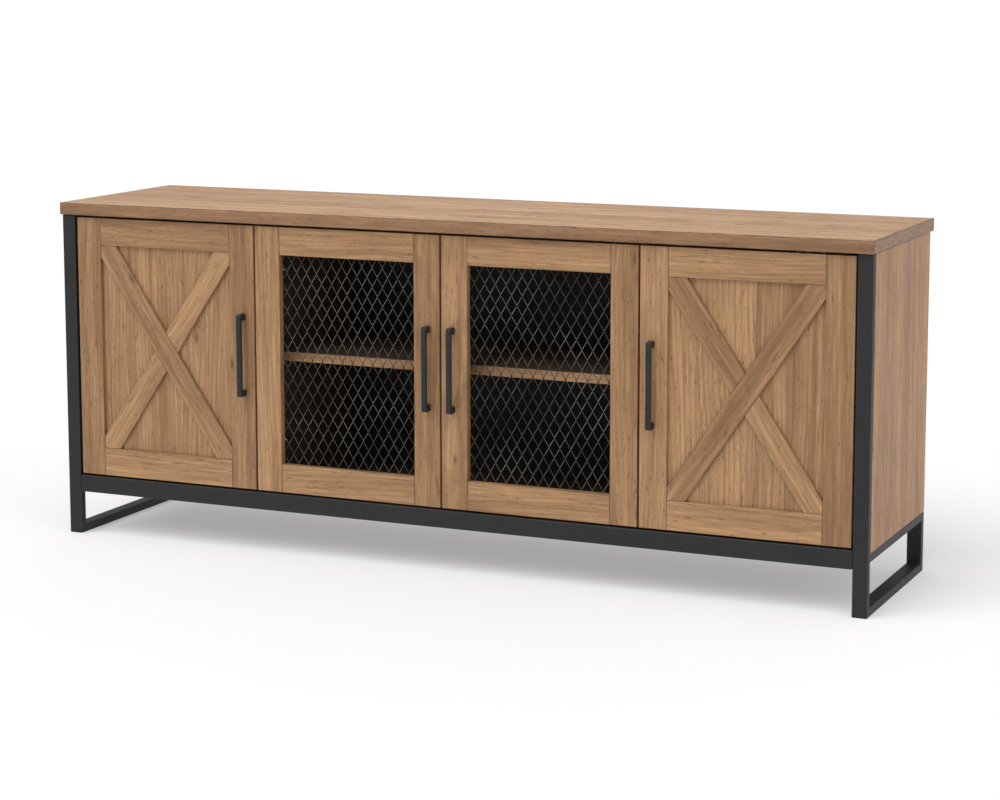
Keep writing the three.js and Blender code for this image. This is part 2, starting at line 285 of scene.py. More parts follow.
def build_oak_grain():
    """Tone (bands and planks), Fibre, Pore, Knot and Ring, each from 0 to 1."""
    tree, given, result = new_group("oak_grain", {
        "Grain": ("Vector", None), "Board": ("Float", 0.0), "Plank Width": ("Float", NO_PLANKS),
    }, ["Tone", "Fibre", "Pore", "Knot", "Ring"])
    parts = add(tree, "SeparateXYZ", {0: given["Grain"]}).outputs
    along, across, deep = parts[0], parts[1], parts[2]

    planks_across = calc(tree, "DIVIDE", across, given["Plank Width"])
    shifted = calc(tree, "MULTIPLY_ADD", given["Board"], 0.37, planks_across)
    plank = add(tree, "CombineXYZ", {0: calc(tree, "FLOOR", shifted), 1: given["Board"]}).outputs[0]
    plank_tone = add(tree, "TexWhiteNoise", {0: plank}, noise_dimensions="2D").outputs[0]
    seed = calc(tree, "MULTIPLY_ADD", plank_tone, 17.0, calc(tree, "MULTIPLY", given["Board"], 5.3))

    cell = add(tree, "CombineXYZ", {
        0: calc(tree, "MULTIPLY_ADD", seed, 3.7, calc(tree, "DIVIDE", along, KNOT_SPACING[0])),
        1: calc(tree, "MULTIPLY_ADD", seed, 1.9, calc(tree, "DIVIDE", across, KNOT_SPACING[1])),
    }).outputs[0]
    scatter = {"Vector": cell, "Scale": 1.0, "Randomness": 0.8}
    knots = add(tree, "TexVoronoi", scatter, voronoi_dimensions="2D").outputs
    offset = add(tree, "VectorMath", {0: cell, 1: knots["Position"]}, operation="SUBTRACT").outputs[0]
    offsets = add(tree, "SeparateXYZ", {0: offset}).outputs
    to_knot = calc(tree, "MULTIPLY", offsets[0], KNOT_SPACING[0])
    beside_knot = calc(tree, "MULTIPLY", offsets[1], KNOT_SPACING[1])
    chance = add(tree, "SeparateColor", {0: knots["Color"]}).outputs[0]
    present = calc(tree, "GREATER_THAN", chance, 1 - KNOT_SHARE)
    pull = calc(tree, "MULTIPLY", present, inside_ellipse(tree, to_knot, beside_knot, KNOT_REACH))
    core = calc(tree, "MULTIPLY", present, inside_ellipse(tree, to_knot, beside_knot, KNOT_SIZE))

    bend = noise(tree, stretch(tree, given["Grain"], 2.2, 5, 5), seed, detail=2)
    bent = calc(tree, "MULTIPLY_ADD", calc(tree, "SUBTRACT", bend, 0.5), 0.03, across)
    aside = calc(tree, "MULTIPLY", calc(tree, "MULTIPLY", beside_knot, pull), 0.85)
    bowed = calc(tree, "SUBTRACT", bent, aside)
    flow = add(tree, "CombineXYZ", {0: along, 1: bowed, 2: deep}).outputs[0]

    fibre = noise(tree, stretch(tree, flow, 16, 360, 360), seed, detail=4, roughness=0.7)
    streak = noise(tree, stretch(tree, flow, 5, 110, 110), seed, detail=4, roughness=0.65)
    band = noise(tree, stretch(tree, flow, 1.1, 26, 26), seed, detail=2)
    dash = noise(tree, stretch(tree, flow, 52, 280, 280), seed, detail=3, roughness=0.75)

    heart = calc(tree, "MULTIPLY_ADD", calc(tree, "SUBTRACT", plank_tone, 0.5), 0.05, bowed)
    slant = calc(tree, "MULTIPLY_ADD", along, 0.055, calc(tree, "SUBTRACT", plank_tone, 0.5))
    wander = calc(tree, "MULTIPLY_ADD", band, 0.02, slant)
    squares = calc(tree, "ADD", calc(tree, "POWER", heart, 2), calc(tree, "POWER", wander, 2))
    radius = calc(tree, "SQRT", squares)
    rings = calc(tree, "SINE", calc(tree, "MULTIPLY", radius, RING_PHASE))

    tone = calc(tree, "MULTIPLY_ADD", band, 0.75, calc(tree, "MULTIPLY", streak, 0.85))
    centred = calc(tree, "SUBTRACT", tone, 0.38)
    plug(tree, result["Tone"], calc(tree, "MULTIPLY_ADD", plank_tone, 0.16, centred))
    plug(tree, result["Fibre"], remap(tree, fibre, 0.34, 0.68))
    plug(tree, result["Pore"], remap(tree, dash, 0.56, 0.68))
    plug(tree, result["Knot"], core)
    plug(tree, result["Ring"], remap(tree, rings, 0.2, 1.0))
    return tree


OAK_GRAIN = build_oak_grain()
print("oak grain group:", len(OAK_GRAIN.nodes), "nodes")

# %% [markdown]
# ## Worn edges, dust and painted highlight, and powder coat
# Three effects turn up in several finishes. Rounded edges rub lighter, in patches rather than evenly.
# Dust settles on what faces up, and the same group paints a highlight on the up-facing strands of the
# expanded metal. Powder coat dries with a fine, pebbled skin. Each is a node group that only puts out
# numbers, and each finish decides what to do with them.

# %% Node groups: edge wear, dust and painted highlight, and pebbled skin
def build_edge_wear():
    """Wear is 1 where a rounded edge is rubbed. Edge is the share painted on the mesh."""
    tree, given, result = new_group("edge_wear", {
        "Place": ("Vector", None), "Edge": ("Float", 0.0), "Patch Size": ("Float", 0.02),
    }, ["Wear"])
    patches = noise(tree, given["Place"], detail=4, roughness=0.65,
                    scale=calc(tree, "DIVIDE", 1.0, given["Patch Size"]))
    plug(tree, result["Wear"], calc(tree, "MULTIPLY", given["Edge"], remap(tree, patches, 0.38, 0.66)))
    return tree


def build_dust_and_highlight():
    """The share of a surface that is paler where it faces up: fine dust, and on the expanded metal a
    painted highlight. It starts where the surface's normal rises by the least rise, and is full at
    the full rise."""
    tree, given, result = new_group("dust_and_highlight", {
        "Place": ("Vector", None), "Normal": ("Vector", None), "Amount": ("Float", 0.1),
        "Least Rise": ("Float", 0.6), "Full Rise": ("Float", 1.0),
    }, ["Dust"])
    up = add(tree, "SeparateXYZ", {0: given["Normal"]}).outputs[2]
    clouds = noise(tree, given["Place"], detail=5, roughness=0.7, scale=9)
    risen = remap(tree, up, given["Least Rise"], given["Full Rise"])
    cover = calc(tree, "MULTIPLY", risen, remap(tree, clouds, 0.3, 0.75))
    plug(tree, result["Dust"], calc(tree, "MULTIPLY", cover, given["Amount"]))
    return tree


def build_pebbled_skin():
    """Height of a pebbled skin, and slow patches where it is glossier."""
    tree, given, result = new_group("pebbled_skin", {
        "Place": ("Vector", None), "Pebbles": ("Float", 900.0),
    }, ["Height", "Patches"])
    plug(tree, result["Height"], noise(tree, given["Place"], detail=2, scale=given["Pebbles"]))
    plug(tree, result["Patches"], noise(tree, given["Place"], detail=3, scale=14))
    return tree


EDGE_WEAR = build_edge_wear()
DUST_AND_HIGHLIGHT = build_dust_and_highlight()
PEBBLED_SKIN = build_pebbled_skin()
print("edge wear, dust and pebbled skin groups")

# %% [markdown]
# ## Oak finishes
# The foil is a warm, light brown with a silk sheen. Tone sets where the colour lies between the dark
# and the light wood, fibres and pores darken it, and knots go darkest. The pores are pressed into the
# foil, so they also lower the surface and dull it a little. Rounded edges are painted darker as painted
# shade, which draws a line along every joint, and rub lighter here and there. The same function makes
# five finishes: plain boards, planked door panels, the cabinet's sides, the top, painted lighter as
# painted light from above, and its edges.

# %% Oak materials
def surface_inputs(tree):
    """What every finish reads: the piece's own place, the way it faces and its rounded edges."""
    place = add(tree, "TexCoord").outputs["Object"]
    normal = add(tree, "NewGeometry").outputs["Normal"]
    edge = add(tree, "Attribute", attribute_name="edge").outputs["Fac"]
    return place, normal, edge


def finish_with_bump(tree, shader, height, strength, depth):
    """Feeds a height to the shader's normal."""
    bump = add(tree, "Bump", {"Height": height, "Strength": strength, "Distance": depth})
    plug(tree, shader.inputs["Normal"], bump.outputs[0])


def make_oak(name, dark, light, plank_width=NO_PLANKS, dust_and_highlight=0.04, ring=0.24, dullness=0.42):
    """An oak finish between two colours. The grain attribute gives each board its own pattern."""
    material, tree, shader = new_material(name)
    place, normal, edge = surface_inputs(tree)
    grain = add(tree, "Attribute", attribute_name="grain").outputs["Vector"]
    board = add(tree, "Attribute", attribute_name="board").outputs["Fac"]
    oak = place_group(tree, OAK_GRAIN, Grain=grain, Board=board, Plank_Width=plank_width)
    wood = mix(tree, remap(tree, oak["Tone"], 0.14, 0.80), dark, light)
    wood = mix(tree, calc(tree, "MULTIPLY", oak["Ring"], ring), wood, colour(112, 78, 52))
    wood = mix(tree, calc(tree, "MULTIPLY", oak["Fibre"], 0.42), wood, colour(108, 77, 51))
    wood = mix(tree, calc(tree, "MULTIPLY", oak["Pore"], 0.62), wood, colour(80, 54, 35))
    wood = mix(tree, calc(tree, "MULTIPLY", oak["Knot"], 0.75), wood, colour(74, 48, 32))
    # Painted shade: every rounded edge is darkened, which draws a dark line along each joint.
    wood = mix(tree, calc(tree, "MULTIPLY", edge, 0.68), wood, colour(76, 51, 33))
    worn = place_group(tree, EDGE_WEAR, Place=place, Edge=edge, Patch_Size=0.03)["Wear"]
    wood = mix(tree, calc(tree, "MULTIPLY", worn, 0.3), wood, colour(196, 160, 124))
    dust_and_highlight_cover = place_group(tree, DUST_AND_HIGHLIGHT, Place=place, Normal=normal, Amount=dust_and_highlight)["Dust"]
    plug(tree, shader.inputs["Base Color"], mix(tree, dust_and_highlight_cover, wood, colour(214, 208, 200)))
    dull = calc(tree, "MULTIPLY_ADD", oak["Fibre"], 0.1, dullness)
    dull = calc(tree, "MULTIPLY_ADD", oak["Pore"], 0.16, dull)
    plug(tree, shader.inputs["Roughness"], calc(tree, "ADD", dull, dust_and_highlight_cover))
    raised = calc(tree, "MULTIPLY_ADD", oak["Pore"], -1.0, calc(tree, "MULTIPLY", oak["Fibre"], -0.35))
    finish_with_bump(tree, shader, raised, 0.35, 0.12 * MM)
    shader.inputs["Specular IOR Level"].default_value = 0.4
    return material


OAK_DARK = colour(122, 88, 56)
OAK_LIGHT = colour(187, 146, 103)
MATERIALS = {
    "oak": make_oak("oak", OAK_DARK, OAK_LIGHT),
    "oak_planks": make_oak("oak_planks", OAK_DARK, OAK_LIGHT, plank_width=56 * MM, ring=0.34),
    "oak_side": make_oak("oak_side", colour(136, 94, 55), colour(198, 146, 95),
                         plank_width=140 * MM, ring=0.26),
    # The top's colours are lighter than the front's: painted light from above on its upper face.
    "oak_top": make_oak("oak_top", colour(172, 130, 94), colour(232, 190, 149),
                        plank_width=102 * MM, dust_and_highlight=0.05, ring=0.16, dullness=0.5),
    "oak_edge": make_oak("oak_edge", colour(120, 86, 58), colour(166, 128, 94)),
}
print("oak finishes:", ", ".join(MATERIALS))

# %% [markdown]
# ## Black and metal finishes
# The steel frame is powder coated in a soft black that turns grey where light catches its pebbled
# skin, and the handles match it. The expanded metal has a browner black, painted paler on the strands
# that face up as a painted highlight, laid on with the dust group. Inside, the boards are painted a
# black-brown, painted shade which makes the bays look so deep behind the mesh. Hinges, pins and
# screws are bright plated steel, with a painted highlight along their rounded edges.

# %% Black and metal materials
def make_coated(name, base, worn_to, rough, pebbles=900.0, dust_and_highlight=0.06, depth=0.05, rise=(0.6, 1.0)):
    """A coating over steel, plastic or board: pebbled, patchy in gloss and rubbed at its edges."""
    material, tree, shader = new_material(name)
    place, normal, edge = surface_inputs(tree)
    skin = place_group(tree, PEBBLED_SKIN, Place=place, Pebbles=pebbles)
    worn = place_group(tree, EDGE_WEAR, Place=place, Edge=edge, Patch_Size=0.012)["Wear"]
    # Paler where facing up: fine dust, and on the expanded metal a painted highlight.
    dust_and_highlight_cover = place_group(tree, DUST_AND_HIGHLIGHT, Place=place, Normal=normal, Amount=dust_and_highlight,
                        Least_Rise=rise[0], Full_Rise=rise[1])["Dust"]
    lively = mix(tree, calc(tree, "MULTIPLY", skin["Patches"], 0.3), base, worn_to)
    tone = mix(tree, calc(tree, "MULTIPLY", worn, 0.5), lively, worn_to)
    plug(tree, shader.inputs["Base Color"], mix(tree, dust_and_highlight_cover, tone, colour(190, 186, 180)))
    dull = calc(tree, "MULTIPLY_ADD", skin["Patches"], 0.16, rough - 0.08)
    plug(tree, shader.inputs["Roughness"], calc(tree, "ADD", dull, dust_and_highlight_cover))
    finish_with_bump(tree, shader, skin["Height"], 0.3, depth * MM)
    shader.inputs["Specular IOR Level"].default_value = 0.35
    return material


def make_painted_shade_inside(name, dark, light):
    """The inside faces: black-brown with a faint grain, painted shade for the bays."""
    material, tree, shader = new_material(name)
    place, normal, _ = surface_inputs(tree)
    grain = add(tree, "Attribute", attribute_name="grain").outputs["Vector"]
    board = add(tree, "Attribute", attribute_name="board").outputs["Fac"]
    oak = place_group(tree, OAK_GRAIN, Grain=grain, Board=board)
    tone = mix(tree, calc(tree, "MULTIPLY", oak["Fibre"], 0.7), light, dark)
    dust_and_highlight_cover = place_group(tree, DUST_AND_HIGHLIGHT, Place=place, Normal=normal, Amount=0.02)["Dust"]
    plug(tree, shader.inputs["Base Color"], mix(tree, dust_and_highlight_cover, tone, colour(150, 140, 130)))
    plug(tree, shader.inputs["Roughness"], calc(tree, "MULTIPLY_ADD", oak["Fibre"], 0.12, 0.5))
    finish_with_bump(tree, shader, oak["Fibre"], 0.2, 0.05 * MM)
    shader.inputs["Specular IOR Level"].default_value = 0.25
    return material


def make_plated(name, base, rough):
    """Bright plated steel: brushed unevenly and a little dulled in patches."""
    material, tree, shader = new_material(name)
    place, _, edge = surface_inputs(tree)
    brushed = noise(tree, stretch(tree, place, 90, 90, 1600), detail=3)
    patches = noise(tree, place, detail=4, scale=120)
    tone = mix(tree, patches, base, colour(214, 214, 210))
    # Painted highlight: every rounded edge is mixed towards near white.
    painted_edge_highlight = mix(tree, calc(tree, "MULTIPLY", edge, 0.3), tone, colour(235, 235, 232))
    plug(tree, shader.inputs["Base Color"], painted_edge_highlight)
    plug(tree, shader.inputs["Roughness"], calc(tree, "MULTIPLY_ADD", patches, 0.2, rough))
    finish_with_bump(tree, shader, brushed, 0.15, 0.03 * MM)
    shader.inputs["Metallic"].default_value = 1.0
    return material


MATERIALS.update({
    "steel": make_coated("steel", colour(21, 21, 21), colour(54, 54, 54), 0.52, depth=0.08, dust_and_highlight=0.04),
    "handle": make_coated("handle", colour(19, 20, 21), colour(58, 59, 61), 0.46, pebbles=1400.0),
    # Painted highlight: at half strength the dust group makes the up-facing strands pale, as if lit from above.
    "mesh": make_coated("mesh", colour(25, 23, 21), colour(50, 46, 42), 0.58,
                        pebbles=1500.0, dust_and_highlight=0.5, rise=(0.0, 0.3)),
    "plastic": make_coated("plastic", colour(26, 26, 27), colour(60, 60, 60), 0.5, pebbles=700.0),
    # Painted shade: the back board is near black, so the bays behind the mesh stay dark.
    "back_board_painted_shade": make_coated("back_board_painted_shade", colour(34, 29, 24), colour(56, 49, 41), 0.62,
                              pebbles=420.0, dust_and_highlight=0.02),
    "rubber": make_coated("rubber", colour(196, 198, 198), colour(226, 226, 226), 0.3,
                          pebbles=300.0, dust_and_highlight=0.0),
    # Painted shade: the inside faces are near black-brown, so the bays read as deep shade.
    "inside": make_painted_shade_inside("inside", colour(54, 43, 32), colour(78, 64, 49)),
    "plated": make_plated("plated", colour(168, 168, 164), 0.22),
    "zinc": make_plated("zinc", colour(150, 148, 140), 0.34),
})
print(len(MATERIALS), "finishes in all")

# %% [markdown]
# ## Making pieces
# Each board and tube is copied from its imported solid, so its grooves and bored holes stay exactly
# right. The copy's loose triangles are merged, flat neighbours are joined, and a bevel rounds every
# sharp outer edge. The rounded faces carry an edge value, which the finishes read for wear. Weighted
# normals keep the large faces flat to the eye.

# %% Piece helpers
def new_piece(bm, name, body, materials, replaces=(), smooth=40):
    """Turns a bmesh into a finished object that rides on a body and has its finishes."""
    mesh = bpy.data.meshes.new(name)
    bm.to_mesh(mesh)
    bm.free()
    for material in materials:
        mesh.materials.append(MATERIALS[material])
    mesh.polygons.foreach_set("use_smooth", [True] * len(mesh.polygons))
    mesh.set_sharp_from_angle(angle=math.radians(smooth))
    piece = bpy.data.objects.new(name, mesh)
    bpy.context.scene.collection.objects.link(piece)
    weighted = piece.modifiers.new("flat_faces", "WEIGHTED_NORMAL")
    weighted.keep_sharp = True
    if body is not None:
        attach(piece, body)
    if replaces:
        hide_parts(*replaces)
    return piece


def copy_of(node):
    """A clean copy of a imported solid: merged, with flat neighbours joined."""
    bm = bmesh.new()
    bm.from_mesh(frame["nodes"][node].data)
    bmesh.ops.remove_doubles(bm, verts=bm.verts[:], dist=0.01 * MM)
    bmesh.ops.dissolve_limit(bm, angle_limit=math.radians(0.5), verts=bm.verts[:], edges=bm.edges[:])
    return bm


def ease(bm, radius, segments=2, sharper_than=50):
    """Rounds the sharp outer edges and marks the new faces for edge wear."""
    limit = math.radians(sharper_than)
    edge = bm.faces.layers.float.get("edge") or bm.faces.layers.float.new("edge")
    sharp = [e for e in bm.edges if e.is_manifold and e.calc_face_angle_signed() > limit]
    made = bmesh.ops.bevel(bm, geom=sharp, offset=radius, segments=segments, profile=0.5,
                           affect="EDGES", material=-1, clamp_overlap=True)
    for face in made["faces"]:
        face[edge] = 1.0


def lay_grain(bm, number):
    """Gives a board its own pattern. The grain runs along its longest edge, and an end face is
    banded, with the grain along the longer side of the end."""
    corners = [v.co for v in bm.verts]
    size = [max(c[i] for c in corners) - min(c[i] for c in corners) for i in range(3)]
    deep = Vector([1.0 if i == size.index(min(size)) else 0.0 for i in range(3)])
    longest = max(bm.edges, key=lambda e: e.calc_length())
    run = (longest.verts[1].co - longest.verts[0].co).normalized()
    across = deep.cross(run)
    grain = bm.loops.layers.float_vector.new("grain")
    board = bm.faces.layers.float.new("board")
    for face in bm.faces:
        face[board] = number
        is_end = abs(face.normal.dot(run)) > 0.75
        axes = (across, deep, run) if is_end else (run, across, deep)
        for loop in face.loops:
            loop[grain] = Vector([loop.vert.co.dot(axis) for axis in axes])


print("piece helpers ready")

# %% [markdown]
# ## The cabinet's boards
# The top is the thickest board and overhangs the frame. The sides, dividers, bottom and shelves are
# 18 mm boards with banded oak edges, and their faces towards the bays are painted black-brown as
# painted shade in the bays. A rule by direction picks those faces: whatever looks into a bay is dark,
# except a front edge. The top's upper face is painted lighter than the band round its edge, as
# painted light from above.

# %% Cabinet boards
def is_other_face(node, face):
    """Whether a face has the second finish: the dark inside faces, painted shade for the bays, or the band round
    the top, darker than the upper face, which is painted lighter as light from above.
    """
    normal = face.normal
    if node == "top_panel":
        return normal.z < 0.5
    if node.endswith("_side_panel"):
        return normal.x * (1 if node.startswith("left") else -1) > 0.5
    return normal.y > -0.3


def add_board(node, finish, number, radius):
    bm = copy_of(node)
    ease(bm, radius)
    lay_grain(bm, number)
    for face in bm.faces:
        face.material_index = 1 if is_other_face(node, face) else 0
    # The second finish: the dark inside faces, which are painted shade, or the top's edge band.
    second = "oak_edge" if node == "top_panel" else "inside"
    return new_piece(bm, node + "_oak", BODY_OF[node], [finish, second], [node])


BOARDS = {
    "top_panel": ("oak_top", 1.6),
    "left_side_panel": ("oak_side", 0.7),
    "right_side_panel": ("oak_side", 0.7),
    "left_divider": ("oak", 0.6), "right_divider": ("oak", 0.6), "bottom_panel": ("oak", 0.6),
    "left_shelf": ("oak", 0.8), "centre_shelf": ("oak", 0.8), "right_shelf": ("oak", 0.8),
}
for number, (node, (finish, radius)) in enumerate(BOARDS.items(), start=1):
    add_board(node, finish, number, radius * MM)
print(len(BOARDS), "boards")

# %% [markdown]
# ## Door frames, panels and braces
# A door is a frame of two upright stiles with two rails between them. The outer doors hold a thin
# planked panel in a groove, with two crossed braces on it; the brace that falls from the outer top
# corner runs through, and the other is in two halves. The wood runs along every member, so the
# pattern turns a corner wherever two of them meet.

# %% Door members
DOORS = {"left_outer_door": 1, "left_centre_door": 1, "right_centre_door": -1, "right_outer_door": -1}
MEMBERS = {
    "hinge_stile": ("oak", 0.7), "handle_stile": ("oak", 0.7), "top_rail": ("oak", 0.7),
    "bottom_rail": ("oak", 0.7), "panel": ("oak_planks", 0.4), "long_brace": ("oak", 0.8),
    "upper_short_brace": ("oak", 0.8), "lower_short_brace": ("oak", 0.8),
}


def add_member(node, finish, number, radius):
    bm = copy_of(node)
    ease(bm, radius)
    lay_grain(bm, number)
    return new_piece(bm, node + "_oak", BODY_OF[node], [finish], [node])


number = len(BOARDS)
for door in DOORS:
    for member, (finish, radius) in MEMBERS.items():
        node = f"{door}_{member}"
        if node in frame["nodes"]:
            number += 1
            add_member(node, finish, number, radius * MM)
print(number - len(BOARDS), "door members")

# %% [markdown]
# ## Steel frame
# The side frames are welded from rectangular tube, and two rails of the same tube join them. Drawn
# tube has rounded corners, so all outer edges get a 2 mm radius. Each inner corner has a fillet weld:
# a row of small overlapping ripples, stamped along the joint from one little squashed ball.

# %% Side frames, rails and welds
TUBE_RADIUS = 2.0 * MM
BEAD_STEP = 2.2 * MM
BEAD_SIZE = (1.7 * MM, 2.3 * MM)
WELD_END = 3 * MM
CONTACT_GAP = 0.3 * MM


def stamp(bm, template, place):
    """Copies a small mesh into a bmesh, moved by a matrix."""
    before = set(bm.verts)
    bm.from_mesh(template)
    bmesh.ops.transform(bm, matrix=place, verts=[v for v in bm.verts if v not in before])


def ripple_mesh():
    bm = bmesh.new()
    bmesh.ops.create_uvsphere(bm, u_segments=8, v_segments=5, radius=1.0)
    mesh = bpy.data.meshes.new("ripple")
    bm.to_mesh(mesh)
    bm.free()
    return mesh


RIPPLE = ripple_mesh()


def add_weld(bm, start, end):
    """A fillet weld between two points, along X."""
    rng = random.Random(round(start.y * 1000) + round(start.z * 1000))
    count = int(abs(end.x - start.x) / BEAD_STEP)
    for step in range(count + 1):
        centre = start.lerp(end, step / count)
        swell = BEAD_SIZE[1] * rng.uniform(0.88, 1.1)
        stamp(bm, RIPPLE, Matrix.Translation(centre) @ Matrix.Diagonal((BEAD_SIZE[0], swell, swell, 1)))


def add_tube_piece(node, welds=()):
    bm = copy_of(node)
    ease(bm, TUBE_RADIUS, segments=3)
    for start, end in welds:
        add_weld(bm, start, end)
    return new_piece(bm, node + "_tube", BODY_OF[node], ["steel"], [node])


def side_frame_welds(node):
    """The inner corners of the foot loop, and the corner above it behind the post."""
    low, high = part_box(node)
    rail_low, rail_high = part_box("rear_rail")
    tube = rail_high.y - rail_low.y
    panel_low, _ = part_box(node.replace("frame", "panel"))
    ends = (low.x + WELD_END, high.x - WELD_END)
    rail_under = panel_low.z - CONTACT_GAP - tube
    corners = [(y, z) for y in (low.y + tube, high.y - tube) for z in (tube, rail_under)]
    return [(Vector((ends[0], y, z)), Vector((ends[1], y, z))) for y, z in corners]


for node in ("left_side_frame", "right_side_frame"):
    add_tube_piece(node, side_frame_welds(node))
for node in ("front_rail", "rear_rail"):
    add_tube_piece(node)
print("steel frame with", 2 * len(side_frame_welds("left_side_frame")), "welds")

# %% [markdown]
# ## Expanded metal
# The mesh is slit sheet pulled open into diamonds. Between two rows of slits the metal is one narrow
# strip that zigzags up the sheet and touches the strip on either side in turn. Pulling also turns the
# strips out of the sheet's plane, so the strands that climb one way catch the light and the others
# don't. One strip is extruded step by step along its zigzag, the others are copies shifted by half a
# diamond, and the sheet is then cut to size and framed by a flat border.

# %% Expanded metal
DIAMOND = (21.5 * MM, 37.0 * MM)
STRAND = (2.0 * MM, 0.9 * MM)
STRAND_TURN = math.radians(-40)
BOND = 2.4 * MM
BORDER = 7 * MM


def zigzag_strip(steps):
    """One strip from the bottom up, as a mesh, with its first bond at the origin's height."""
    bm = bmesh.new()
    bmesh.ops.create_grid(bm, x_segments=1, y_segments=1, size=0.5)
    bmesh.ops.scale(bm, vec=(STRAND[0], STRAND[1], 1), verts=bm.verts[:])
    bmesh.ops.rotate(bm, matrix=Matrix.Rotation(STRAND_TURN, 3, "Z"), verts=bm.verts[:])
    aside = Vector((math.cos(STRAND_TURN), math.sin(STRAND_TURN), 0)) * STRAND[0] / 2
    swing = Vector((DIAMOND[0] / 4, 0, 0)) - aside
    bmesh.ops.translate(bm, vec=swing, verts=bm.verts[:])
    face = next(iter(bm.faces))
    for step in range(steps):
        slanted = step % 2 == 1
        sign = -1 if step % 4 == 1 else 1
        rise = Vector((0, 0, DIAMOND[1] / 2 - BOND if slanted else BOND))
        move = rise + (swing * 2 * sign if slanted else Vector())
        made = bmesh.ops.extrude_face_region(bm, geom=[face])["geom"]
        bmesh.ops.translate(bm, vec=move, verts=[v for v in made if isinstance(v, bmesh.types.BMVert)])
        face = next(f for f in made if isinstance(f, bmesh.types.BMFace))
    bmesh.ops.recalc_face_normals(bm, faces=bm.faces[:])
    mesh = bpy.data.meshes.new("strip")
    bm.to_mesh(mesh)
    bm.free()
    return mesh


def cut_at(bm, point, outward):
    """Cuts everything away on the far side of a plane and closes the cut ends."""
    bmesh.ops.bisect_plane(bm, geom=bm.verts[:] + bm.edges[:] + bm.faces[:], dist=1e-7,
                           plane_co=point, plane_no=outward, clear_outer=True)
    bmesh.ops.holes_fill(bm, edges=[e for e in bm.edges if e.is_boundary], sides=0)


def thicken(bm, faces, thick):
    """Gives flat faces a thickness towards the back."""
    pushed = bmesh.ops.extrude_face_region(bm, geom=faces)["geom"]
    moved = [v for v in pushed if isinstance(v, bmesh.types.BMVert)]
    bmesh.ops.translate(bm, vec=(0, thick, 0), verts=moved)


def flat_border(bm, low, high, width):
    """A flat rectangular frame, the full thickness between low.y and high.y."""
    middle = (low + high) / 2
    size = high - low
    made = bmesh.ops.create_grid(bm, x_segments=1, y_segments=1, size=0.5)["verts"]
    bmesh.ops.scale(bm, vec=(size.x, size.z, 1), verts=made)
    bmesh.ops.rotate(bm, matrix=Matrix.Rotation(math.radians(90), 3, "X"), verts=made)
    bmesh.ops.translate(bm, vec=(middle.x, low.y, middle.z), verts=made)
    plate = made[0].link_faces[0]
    ring = bmesh.ops.inset_region(bm, faces=[plate], thickness=width, use_boundary=True)["faces"]
    bmesh.ops.delete(bm, geom=[plate], context="FACES")
    thicken(bm, ring, size.y)


def add_mesh(door):
    node = door + "_mesh"
    low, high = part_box(node)
    middle = (low + high) / 2
    columns = math.ceil((high.x - low.x) / DIAMOND[0]) + 2
    rows = math.ceil((high.z - low.z) / DIAMOND[1]) + 2
    strip = zigzag_strip(4 * rows)
    bm = bmesh.new()
    for column in range(-columns, columns + 1):
        across = column * DIAMOND[0] / 2
        up = -rows / 2 * DIAMOND[1] + (column % 2) * DIAMOND[1] / 2
        stamp(bm, strip, Matrix.Translation((middle.x + across, middle.y, middle.z + up)))
    inset = BORDER - 1 * MM
    for outward in (Vector((1, 0, 0)), Vector((-1, 0, 0)), Vector((0, 0, 1)), Vector((0, 0, -1))):
        reach = abs((high - middle).dot(outward)) - inset
        cut_at(bm, middle + outward * reach, outward)
    flat_border(bm, low, high, BORDER)
    bmesh.ops.recalc_face_normals(bm, faces=bm.faces[:])
    piece = new_piece(bm, node + "_sheet", BODY_OF[node], ["mesh"], [node], smooth=30)
    print(piece.name, len(piece.data.polygons), "faces")


for door in ("left_centre_door", "right_centre_door"):
    add_mesh(door)

# %% [markdown]
# ## Turned parts and screws
# Screws, pins and buttons are turned shapes. A helper spins a short outline of radius and height
# about an axis. The cross in a screw head starts from the head's own twelve-sided cap: its corners
# move onto the outline of a cross, and the cap is pushed down.

# %% Turned parts and screws
def turned(outline, steps=16):
    """A mesh spun from (radius, height) points about Z. The first and last lie on the axis."""
    bm = bmesh.new()
    points = [bm.verts.new((radius * MM, 0, height * MM)) for radius, height in outline]
    lines = [bm.edges.new(pair) for pair in zip(points, points[1:])]
    bmesh.ops.spin(bm, geom=points + lines, cent=(0, 0, 0), axis=(0, 0, 1), angle=math.tau,
                   steps=steps, use_merge=True)
    bmesh.ops.remove_doubles(bm, verts=bm.verts[:], dist=1e-6)
    bmesh.ops.recalc_face_normals(bm, faces=bm.faces[:])
    mesh = bpy.data.meshes.new("turned")
    bm.to_mesh(mesh)
    bm.free()
    return mesh


